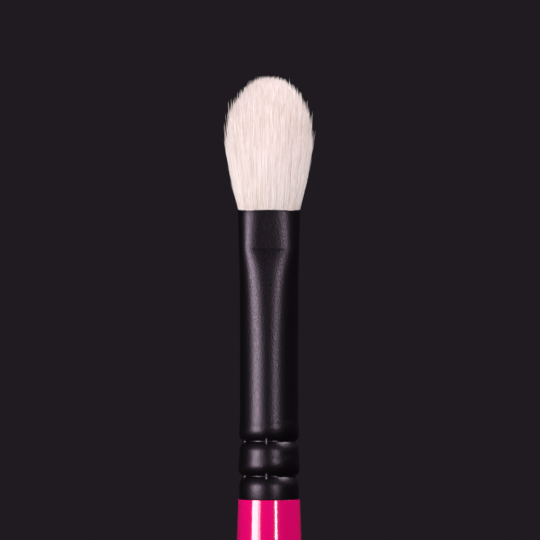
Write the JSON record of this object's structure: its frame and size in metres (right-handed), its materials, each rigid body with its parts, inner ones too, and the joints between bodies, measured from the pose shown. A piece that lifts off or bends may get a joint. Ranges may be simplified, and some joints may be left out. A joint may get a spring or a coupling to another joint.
{
  "type": "eyeshadow brush",
  "caption": "Fluffy domed natural-hair eyeshadow brush: tuft set in a matte black ferrule, pinched flat at the mouth and crimped on a glossy pink tapered wooden handle.",
  "frame": {"origin": "on the brush's axis, at the middle of the handle's straight grip", "axes": "+Z along the brush towards the hair; +Y across the ferrule's pinched thickness, so the broad faces look along -Y and +Y; +X across the tuft's width"},
  "size_m": [0.0092, 0.0076, 0.1649],
  "materials": {
    "hair": "matte",
    "thread": "matte",
    "resin": "gloss",
    "ferrule_black": "matte",
    "glue": "satin",
    "wood": "matte",
    "lacquer_pink": "gloss"
  },
  "bodies": {
    "root": {"hair_tuft": "hair", "root_binding": "thread", "root_resin": "resin", "ferrule": "ferrule_black", "tenon_glue": "glue", "handle_core": "wood", "handle_lacquer": "lacquer_pink"}
  },
  "joints": []
}
